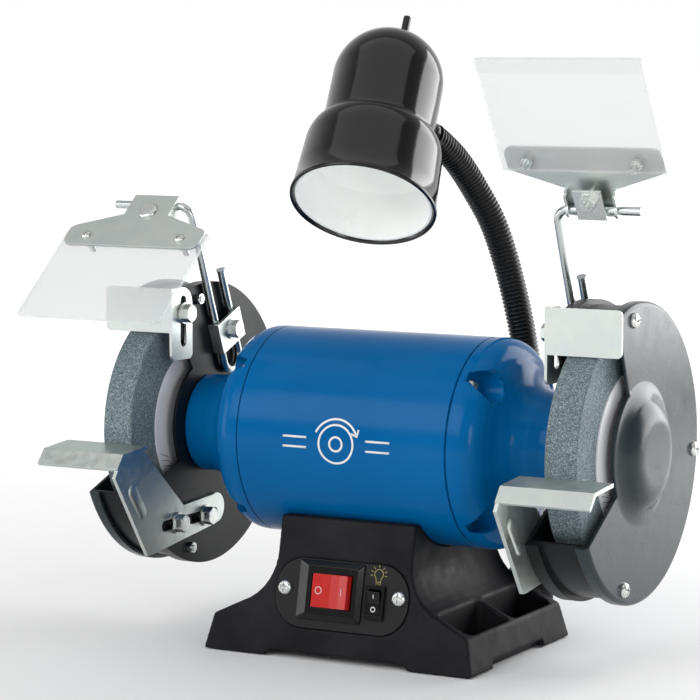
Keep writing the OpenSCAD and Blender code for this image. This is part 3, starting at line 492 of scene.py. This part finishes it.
shell = place("motor_shell_skin", lathe("motor_shell_skin", [
    (SHELL_R, -70), (SHELL_R, 69.6), (SHELL_R - 0.5, 69.9),
    (BELL_IN_R, 70), (BELL_IN_R, -70), (SHELL_R - 0.4, -70)
], AXIS @ TURN_X, 192), "motor_blue", "housing")
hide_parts("motor_shell")

for side, sign in (("left", -1), ("right", 1)):
    outside = [(SHELL_R - 0.4, 70.2), (SHELL_R, 70.7), (SHELL_R, 76)]
    outside += [on_circle((SHELL_R - 16, 76), 16, a, 15) for a in range(3, 76, 4)]
    outside += bez((50, 91.4), (35.5, 95), (33, 109), 20)
    outside += [(31.2, 114), (30.5, 118), (30.5, 127.4), (29.9, 128), (12, 128), (12, 110)]
    inside = [(17.5, 110), (17.5, 94), (26, 94), (29, 90), (41, 86), (43, 74)]
    inside += [(BELL_IN_R, 73), (BELL_IN_R, 70.2)]
    m = AXIS @ (MIRROR if sign < 0 else Matrix.Identity(4)) @ TURN_X
    name = f"end_bell_{side}_skin"
    bell = place(name, lathe(name, outside + inside, m, 192), "motor_blue", None)
    tools = []
    for k in range(4):
        turn = AXIS @ Matrix.Rotation(math.radians(45 + 90 * k), 4, "X")
        x0, x1 = sorted((75.3 * sign, 112 * sign))
        tools.append(cutter("scoop", cylinder("scoop", 9, x0, x1, 55, 0, 64, turn)))
    cut(bell, tools)
    finish_skin(bell, "motor_blue", "housing", f"end_bell_{side}", 0.7, 3, 32)


def on_shell(u, v, h):
    a = v / SHELL_R
    return (u, -(SHELL_R + h) * math.cos(a), SHAFT_Z + (SHELL_R + h) * math.sin(a))


# generic mark: a grinding wheel with its direction of rotation, between plain stripes
MARK_AT, MARK_ARC_R, MARK_ARC_START = (-2, 2), 15, 25
mark = [circle2d(MARK_AT, 11.5), circle2d(MARK_AT, 4.2)]
mark += [circle2d(MARK_AT, MARK_ARC_R, MARK_ARC_START, 155, 24)]
mark += [[(-22, 5), (-38, 5)], [(-22, -1), (-38, -1)], [(18, 5), (34, 5)], [(18, -1), (34, -1)]]
ribbon("wheel_mark", mark, 1.3, on_shell, "white_ink", "housing", 0.12)
tip = on_circle(MARK_AT, MARK_ARC_R, MARK_ARC_START)
arrow = [(tip[0] + u, tip[1] + v) for u, v in ((-3.4, 0.6), (0.6, -1.2), (1.4, 3.2))]
ribbon("wheel_mark_arrow", [arrow], 1.3,
       on_shell, "white_ink", "housing", 0.12)

# ---------------------------------------------------------------- covers

for side, sign, low in (("left", -1, (-130, -55.1)), ("right", 1, (-130, -77.3))):
    face = 167
    out = [(89, 159)] + [on_circle((86, 164), 3, a) for a in range(0, 91, 9)]
    out += bez((43, face), (36.5, face + 0.5), (32, face + 4.2), 14)
    out += bez((32, face + 4.2), (27, face + 9.9), (17, face + 10), 14)[1:] + [(0, face + 10)]
    ins = [(0, face + 8.2), (17, face + 8.2)] + bez((25, face + 7.6), (30, face + 2.6), (40, face - 2), 8)
    ins += [(86.2, face - 2), (86.2, 159)]
    m = AXIS @ (MIRROR if sign < 0 else Matrix.Identity(4)) @ TURN_X
    name = f"cover_{side}_skin"
    dish = place(name, lathe(name, out + ins, m, 220), "cover_grey", None)
    poly = [(-18.5, 34), (-46, 105), (-130, 105), low, (-35.5, -20.5)]
    x0, x1 = sorted((150 * sign, 185 * sign))
    n = len(poly)
    verts = [(x, y, SHAFT_Z + z) for x in (x0, x1) for y, z in poly]
    caps = [tuple(range(n)), tuple(range(n, 2 * n))]
    walls = [(i, (i + 1) % n, n + (i + 1) % n, n + i) for i in range(n)]
    prism = mesh_of("wedge", verts, caps + walls)
    hub = cutter("hub", cylinder("hub", 41, x0 - 10, x1 + 10, 0, SHAFT_Z, 128))
    keep = cutter("keep", prism)
    cut(keep, [hub])
    cut(dish, [keep])
    finish_skin(dish, "cover_grey", "housing", f"cover_{side}", 0.5, 2, 35)

# ---------------------------------------------------------------- base casting

cast = frame["nodes"]["base_casting"]
r = cast.modifiers.new("cast_skin", "REMESH")
r.mode, r.voxel_size, r.use_smooth_shade = "VOXEL", 0.9 * MM, True
s = cast.modifiers.new("cast_smooth", "SMOOTH")
s.factor, s.iterations = 0.5, 9

# ---------------------------------------------------------------- lamp

# the lamp's own frame: origin at the middle of its mouth, +Z towards the dome
LAMP = Matrix.Translation((6, -44.6, 272)) @ Matrix.Rotation(math.radians(11.5), 4, "Z")
LAMP = LAMP @ Matrix.Rotation(math.radians(-36.2), 4, "X")
# radius at the mouth, radius of the tube, and length of the shade
SR, TR, SL = 43.4, 33.8, 122
outside = [(SR - 1.6, 0.3), (SR - 0.6, -0.4), (SR + 0.5, 0), (SR + 0.9, 1), (SR + 0.5, 2)]
outside += [(SR, 2.8), (SR - 0.6, 14), (SR - 1.6, 34)]
outside += bez((SR - 1.8, 38), (SR - 3.2, 47.5), (TR + 2.6, 49.6), 12)
outside += [(TR + 1.0, 50.6), (TR + 0.3, 52), (TR, 54.5), (TR, 70)]
outside += [on_circle((0, SL - TR), TR, a) for a in range(0, 88, 4)] + [(0, SL)]
inside = [(0, SL - 2)] + [on_circle((0, SL - TR), TR - 2, a) for a in range(84, -1, -6)]
inside += [(TR - 2, 54), (SR - 5, 42), (SR - 3.6, 34), (SR - 2.2, 2)]
shade = place("lamp_shade_skin", lathe("lamp_shade_skin", outside + inside, LAMP, 200),
              "shade_black", "lamp_head", 45)
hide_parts("lamp_shade")
STEM = LAMP @ Matrix.Translation((4, 0, 0))
collar = LAMP @ Matrix.Rotation(math.radians(47.5), 4, "Z") @ Matrix.Translation((0, 0, 65.14)) @ TURN_X
place("lamp_collar", lathe("lamp_collar", [
    (0, TR - 1.5), (11, TR - 1.5), (11, TR + 5.2), (10.4, TR + 6.4), (9.2, TR + 7), (9, TR + 9), (0, TR + 9)
], collar, 64), "shade_black", "lamp_head")
place("lamp_stem_seat", lathe("lamp_stem_seat", [
    (0, SL - 3), (5.6, SL - 3), (5.2, SL + 0.2), (4.4, SL + 0.8), (0, SL + 0.9)
], STEM, 48), "shade_black", "lamp_head")
place("lamp_stem_skin", lathe("lamp_stem_skin", [
    (0, SL), (2.45, SL), (2.45, SL + 15), (2.0, SL + 15.5), (0, SL + 15.5)
], STEM, 32), "shade_black", "lamp_head")

# bulb with a smooth envelope
envelope = [(0, 41)] + [on_circle((0, 58), 17, a) for a in range(-86, 33, 4)]
envelope += bez((14.4, 67), (12.9, 71), (12.6, 76), 8)
envelope += [(12.4, 78), (13.2, 78), (13.2, 100), (0, 100)]
bulb = place("lamp_bulb_skin", lathe("lamp_bulb_skin", envelope, LAMP, 96),
             "bulb_glass", "lamp_head", 50)
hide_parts("lamp_bulb")

# ---------------------------------------------------------------- gooseneck

ROUTE = [Vector(p) for p in (
    (62, 74, 36), (62, 74, 70), (62, 74, 100), (62, 74.2, 130), (60.6, 74.6, 152.7), (57, 74.5, 176), (52.6, 73, 201),
    (46.2, 69, 231), (39.8, 62, 257), (32.2, 51, 279), (27.5, 38.5, 294.5), (24, 27, 304), (20.8, 16.5, 311))]


def spline(points, step):
    """A smooth curve through the points, as points a fixed step apart along it."""
    dense = []
    for i in range(len(points) - 1):
        p0, p1, p2, p3 = points[max(i - 1, 0)], points[i], points[i + 1], points[min(i + 2, len(points) - 1)]
        for k in range(40):
            t = k / 40
            square = (2 * p0 - 5 * p1 + 4 * p2 - p3) * t * t
            cube = (3 * p1 - p0 - 3 * p2 + p3) * t ** 3
            dense.append(0.5 * (2 * p1 + (p2 - p0) * t + square + cube))
    dense.append(points[-1])
    out, carried = [dense[0]], 0.0
    for a, b in zip(dense, dense[1:]):
        length = (b - a).length
        while carried + length >= step:
            a = a.lerp(b, (step - carried) / length)
            length = (b - a).length
            out.append(a.copy())
            carried = 0.0
        carried += length
    return out


PITCH, PER_RING, ROUND = 2.55, 8, 36
HOSE_R, RIB = 7.35, 1.25
line = spline(ROUTE, PITCH / PER_RING)
tangents = [(line[min(i + 1, len(line) - 1)] - line[max(i - 1, 0)]).normalized() for i in range(len(line))]
side = Vector((0.8, -0.6, 0))
rings = []
for i, (p, t) in enumerate(zip(line, tangents)):
    side = (side - t * side.dot(t)).normalized()
    up = t.cross(side)
    phase = (i % PER_RING) / PER_RING
    radius = HOSE_R + RIB * abs(math.cos(math.pi * phase)) ** 0.55
    turns = [2 * math.pi * k / ROUND for k in range(ROUND)]
    rings.append([p + (side * math.cos(a) + up * math.sin(a)) * radius for a in turns])


def nearest(p):
    return min(range(len(line)), key=lambda i: (line[i] - Vector(p)).length)


JOINTS = [(62, 74, 150), (51, 72, 210), (40, 62, 256), (29, 45, 288), (24, 27, 304)]
at = [nearest(j) for j in JOINTS]
marks = [0] + [(a + b) // 2 for a, b in zip(at, at[1:])] + [len(line) - 1]
for k in range(5):
    i0, i1 = marks[k], marks[k + 1]
    verts = [v for ring in rings[i0:i1 + 1] for v in ring]
    faces = []
    for i in range(i1 - i0):
        for q in range(ROUND):
            w = (q + 1) % ROUND
            faces.append((i * ROUND + q, i * ROUND + w, (i + 1) * ROUND + w, (i + 1) * ROUND + q))
    name = f"gooseneck_{k + 1}"
    hose = place(name, mesh_of(name, verts, faces), "neck_plastic", None, 0)
    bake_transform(hose)
    if k == 0:
        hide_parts("neck_base")
    if k < 4:
        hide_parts(f"neck_link_{k + 1}")

# ---------------------------------------------------------------- marks on the panel

LEAN = math.atan2(17.5, 83.5)
PANEL = Matrix.Translation((0.8, -69.5 + 39 * math.tan(LEAN), 39.5))
PANEL = PANEL @ Matrix.Rotation(math.pi / 2 - LEAN, 4, "X")
RED = PANEL @ Matrix.Translation((-5.1, 2.2, 0)) @ Matrix.Rotation(math.radians(-8), 4, "Y")
LIT = PANEL @ Matrix.Translation((23.2, -1.5, 0)) @ Matrix.Rotation(math.radians(8), 4, "X")


def on_plane(matrix, z):
    return lambda u, v, h: matrix @ Vector((u, v, z(u, v) + h))


red_top = on_plane(RED, lambda u, v: 4.6 + 0.4 * min(abs(u) / 6.4, 1) + 0.6 * max(abs(u) - 6.4, 0) / 6.4)
off_ring = circle2d((-8.2, 0), 2.1, n=32)
for name, path in (("rocker_off_mark", off_ring), ("rocker_on_mark", [(8.6, -2.4), (8.6, 2.4)])):
    ribbon(name, [path], 0.7, red_top, "pale_ink", "main_rocker", 0.08)
lamp_top = on_plane(LIT, lambda u, v: 2.9 + 0.6 * abs(v) / 6.7)
off_ring = circle2d((0, -3.8), 1.35, n=32)
for name, path in (("lamp_on_mark", [(0, 2.6), (0, 5.0)]), ("lamp_off_mark", off_ring)):
    ribbon(name, [path], 0.55, lamp_top, "white_ink", "lamp_rocker", 0.08)

panel_top = on_plane(PANEL, lambda u, v: 0.5)
bc = (24.0, 15.2)
bulb_lines = [circle2d(bc, 2.9, -52, 232, 32)]
bulb_lines += [
    [(bc[0] + k * 1.8, bc[1] - 2.3), (bc[0] + k * 1.5, bc[1] - 4.4), (bc[0] + k * 1.5, bc[1] - 6.6)] for k in (-1, 1)
]
bulb_lines += [[(bc[0] - 1.5, bc[1] - y), (bc[0] + 1.5, bc[1] - y)] for y in (4.6, 5.7, 6.8)]
for a in (-10, 20, 50, 90, 130, 160, 190):
    bulb_lines.append([on_circle(bc, 3.9, a), on_circle(bc, 5.6, a)])
ribbon("lamp_pictogram", bulb_lines, 0.42, panel_top, "gold_ink", "housing", 0.08)

# ---------------------------------------------------------------- blotters: plain printed ticks

for sign in (-1, 1):
    for x, h in ((137.8, -1), (159.8, 1)):
        ticks = []
        for k in range(9):
            a = math.radians(200 + 5.5 * k)
            inner = a + 0.16
            ticks.append([(46 * math.cos(a), 46 * math.sin(a)), (38.5 * math.cos(inner), 38.5 * math.sin(inner))])
        name = "blotter_print_%s_%s" % ("left" if sign < 0 else "right", "in" if h < 0 else "out")

        def on_blotter(u, v, lift, sign=sign, x=x, h=h):
            return (sign * (x + (lift if h > 0 else -lift)), u, SHAFT_Z + v)

        ribbon(name, ticks, 0.45, on_blotter, "grey_ink", "spindle", 0.06)

# ---------------------------------------------------------------- tool rests: pressed rib on the bracket


def pressed_rib(name, x, a, b, r, height, body):
    """Low slot-shaped swelling between points a and b of the Y-Z plane, standing off a face at x."""
    along = (Vector(b) - Vector(a)).normalized()
    start = math.degrees(math.atan2(along.y, along.x)) + 90
    verts, rings, n = [], [(r, -0.2), (r, 0.0), (r - 0.8, 0.7 * height), (r - 1.7, height)], 24
    for radius, lift in rings:
        for centre, first in ((a, start), (b, start - 180)):
            for k in range(n + 1):
                t = math.radians(first + 180 * k / n)
                verts.append((x + lift, centre[0] + radius * math.cos(t), centre[1] + radius * math.sin(t)))
    m = 2 * (n + 1)
    faces = [(i * m + k, i * m + (k + 1) % m, (i + 1) * m + (k + 1) % m, (i + 1) * m + k)
             for i in range(len(rings) - 1) for k in range(m)]
    faces += [tuple(range(m)), tuple(range((len(rings) - 1) * m, len(rings) * m))]
    return place(name, mesh_of(name, verts, faces), "zinc", body, 50)


for side, face_x in (("left", -125.3), ("right", 127.7)):
    pressed_rib(f"rest_rib_{side}", face_x, (-94, 97.5), (-83.5, 83.5), 4.6, 0.9, f"tool_rest_{side}")

# ---------------------------------------------------------------- shields: darker cut edges

for side, tilt in (("left", 130), ("right", 33)):
    o = frame["nodes"][f"shield_{side}"]
    o.data.materials.append(M["sheet_edge"])
    t = math.radians(tilt)
    normal = Vector((0, math.cos(t), math.sin(t)))
    for p in o.data.polygons:
        if abs(p.normal.dot(normal)) < 0.5:
            p.material_index = 1

# ---------------------------------------------------------------- stage, light, camera


def stage_material():
    p = Mat("studio_floor", (0.9, 0.9, 0.9), 0.7)
    p.color(p.mix(p.noise(1.5, 2), (0.90, 0.90, 0.90), (0.93, 0.93, 0.93)))
    far = p.add("ShaderNodeVectorMath", operation="LENGTH")
    p.link(p.coord, far.inputs[0])
    p.bsdf.inputs["Emission Color"].default_value = (1, 1, 1, 1)
    p.link(p.span(far.outputs["Value"], 0.30, 1.5, 0.0, 0.72), p.bsdf.inputs["Emission Strength"])
    return p.m


def stage_mesh(name, verts, faces, mat):
    m = bpy.data.meshes.new(name)
    m.from_pydata(verts, [], faces)
    m.materials.append(mat)
    o = bpy.data.objects.new(name, m)
    bpy.context.scene.collection.objects.link(o)


WHITE = stage_material()
YAW, PITCH_DOWN = math.radians(28.647), math.radians(6.166)
EYE = (803.25, -1519.68, 366.97)
LENS_MM = 145.91
away = Vector((-math.sin(YAW), math.cos(YAW), 0))
stage_mesh("studio_floor", [(-30, -30, 0), (30, -30, 0), (30, 30, 0), (-30, 30, 0)], [(0, 1, 2, 3)], WHITE)

world = bpy.data.worlds.new("studio")
bpy.context.scene.world = world
world.use_nodes = True
wn = world.node_tree
sky = wn.nodes["Background"]
gen = wn.nodes.new("ShaderNodeTexCoord")


def sky_ramp(direction, stops):
    d = wn.nodes.new("ShaderNodeVectorMath")
    d.operation = "DOT_PRODUCT"
    d.inputs[1].default_value = direction
    wn.links.new(gen.outputs["Generated"], d.inputs[0])
    r = wn.nodes.new("ShaderNodeValToRGB")
    for e, (pos, v) in zip(r.color_ramp.elements, stops):
        e.position, e.color = pos, (v, v, v, 1)
    wn.links.new(d.outputs["Value"], r.inputs[0])
    return r.outputs[0]


both = wn.nodes.new("ShaderNodeMix")
both.data_type, both.blend_type = "RGBA", "MULTIPLY"
both.inputs[0].default_value = 1.0
wn.links.new(sky_ramp(away, [(0.0, 0.42), (0.6, 1.0)]), both.inputs[6])
wn.links.new(sky_ramp((0, 0, 1), [(0.25, 1.0), (0.75, 0.5)]), both.inputs[7])
wn.links.new(both.outputs[2], sky.inputs[0])
sky.inputs[1].default_value = 1.0


def softbox(name, at, aim, size, power):
    l = bpy.data.lights.new(name, "AREA")
    l.shape, l.size, l.size_y, l.energy = "RECTANGLE", size[0], size[1], power
    l.spread = math.pi
    o = bpy.data.objects.new(name, l)
    bpy.context.scene.collection.objects.link(o)
    o.location = at
    o.rotation_mode = "QUATERNION"
    o.rotation_quaternion = (Vector(aim) - Vector(at)).to_track_quat("-Z", "Y")


softbox("top_box", (0.1, -0.3, 1.6), (0, 0, 0.1), (2.4, 1.5), 8)
softbox("front_box", (-0.6, -1.7, 1.1), (0, 0, 0.15), (1.4, 1.0), 15)
softbox("back_right_box", (0.62, 0.78, 0.46), (0.17, 0, 0.15), (0.8, 0.8), 9)
softbox("left_box", (-1.15, -0.66, 0.32), (0, 0, 0.1), (0.35, 0.6), 2.2)
softbox("right_box", (0.97, -0.81, 0.36), (0.08, 0, 0.15), (0.3, 0.3), 2.2)

cam = bpy.data.cameras.new("camera")
camera = bpy.data.objects.new("camera", cam)
bpy.context.scene.collection.objects.link(camera)
bpy.context.scene.camera = camera
right = Vector((math.cos(YAW), math.sin(YAW), 0))
back = Vector((0, 0, math.sin(PITCH_DOWN))) - away * math.cos(PITCH_DOWN)
basis = Matrix((right, back.cross(right), back)).transposed().to_4x4()
basis.translation = Vector(EYE) * MM
camera.matrix_world = basis
cam.sensor_width = 36
cam.lens = LENS_MM
cam.clip_start, cam.clip_end = 0.05, 100
cam.dof.use_dof = False

scene = bpy.context.scene
scene.view_settings.view_transform = "Standard"
scene.view_settings.look = "None"
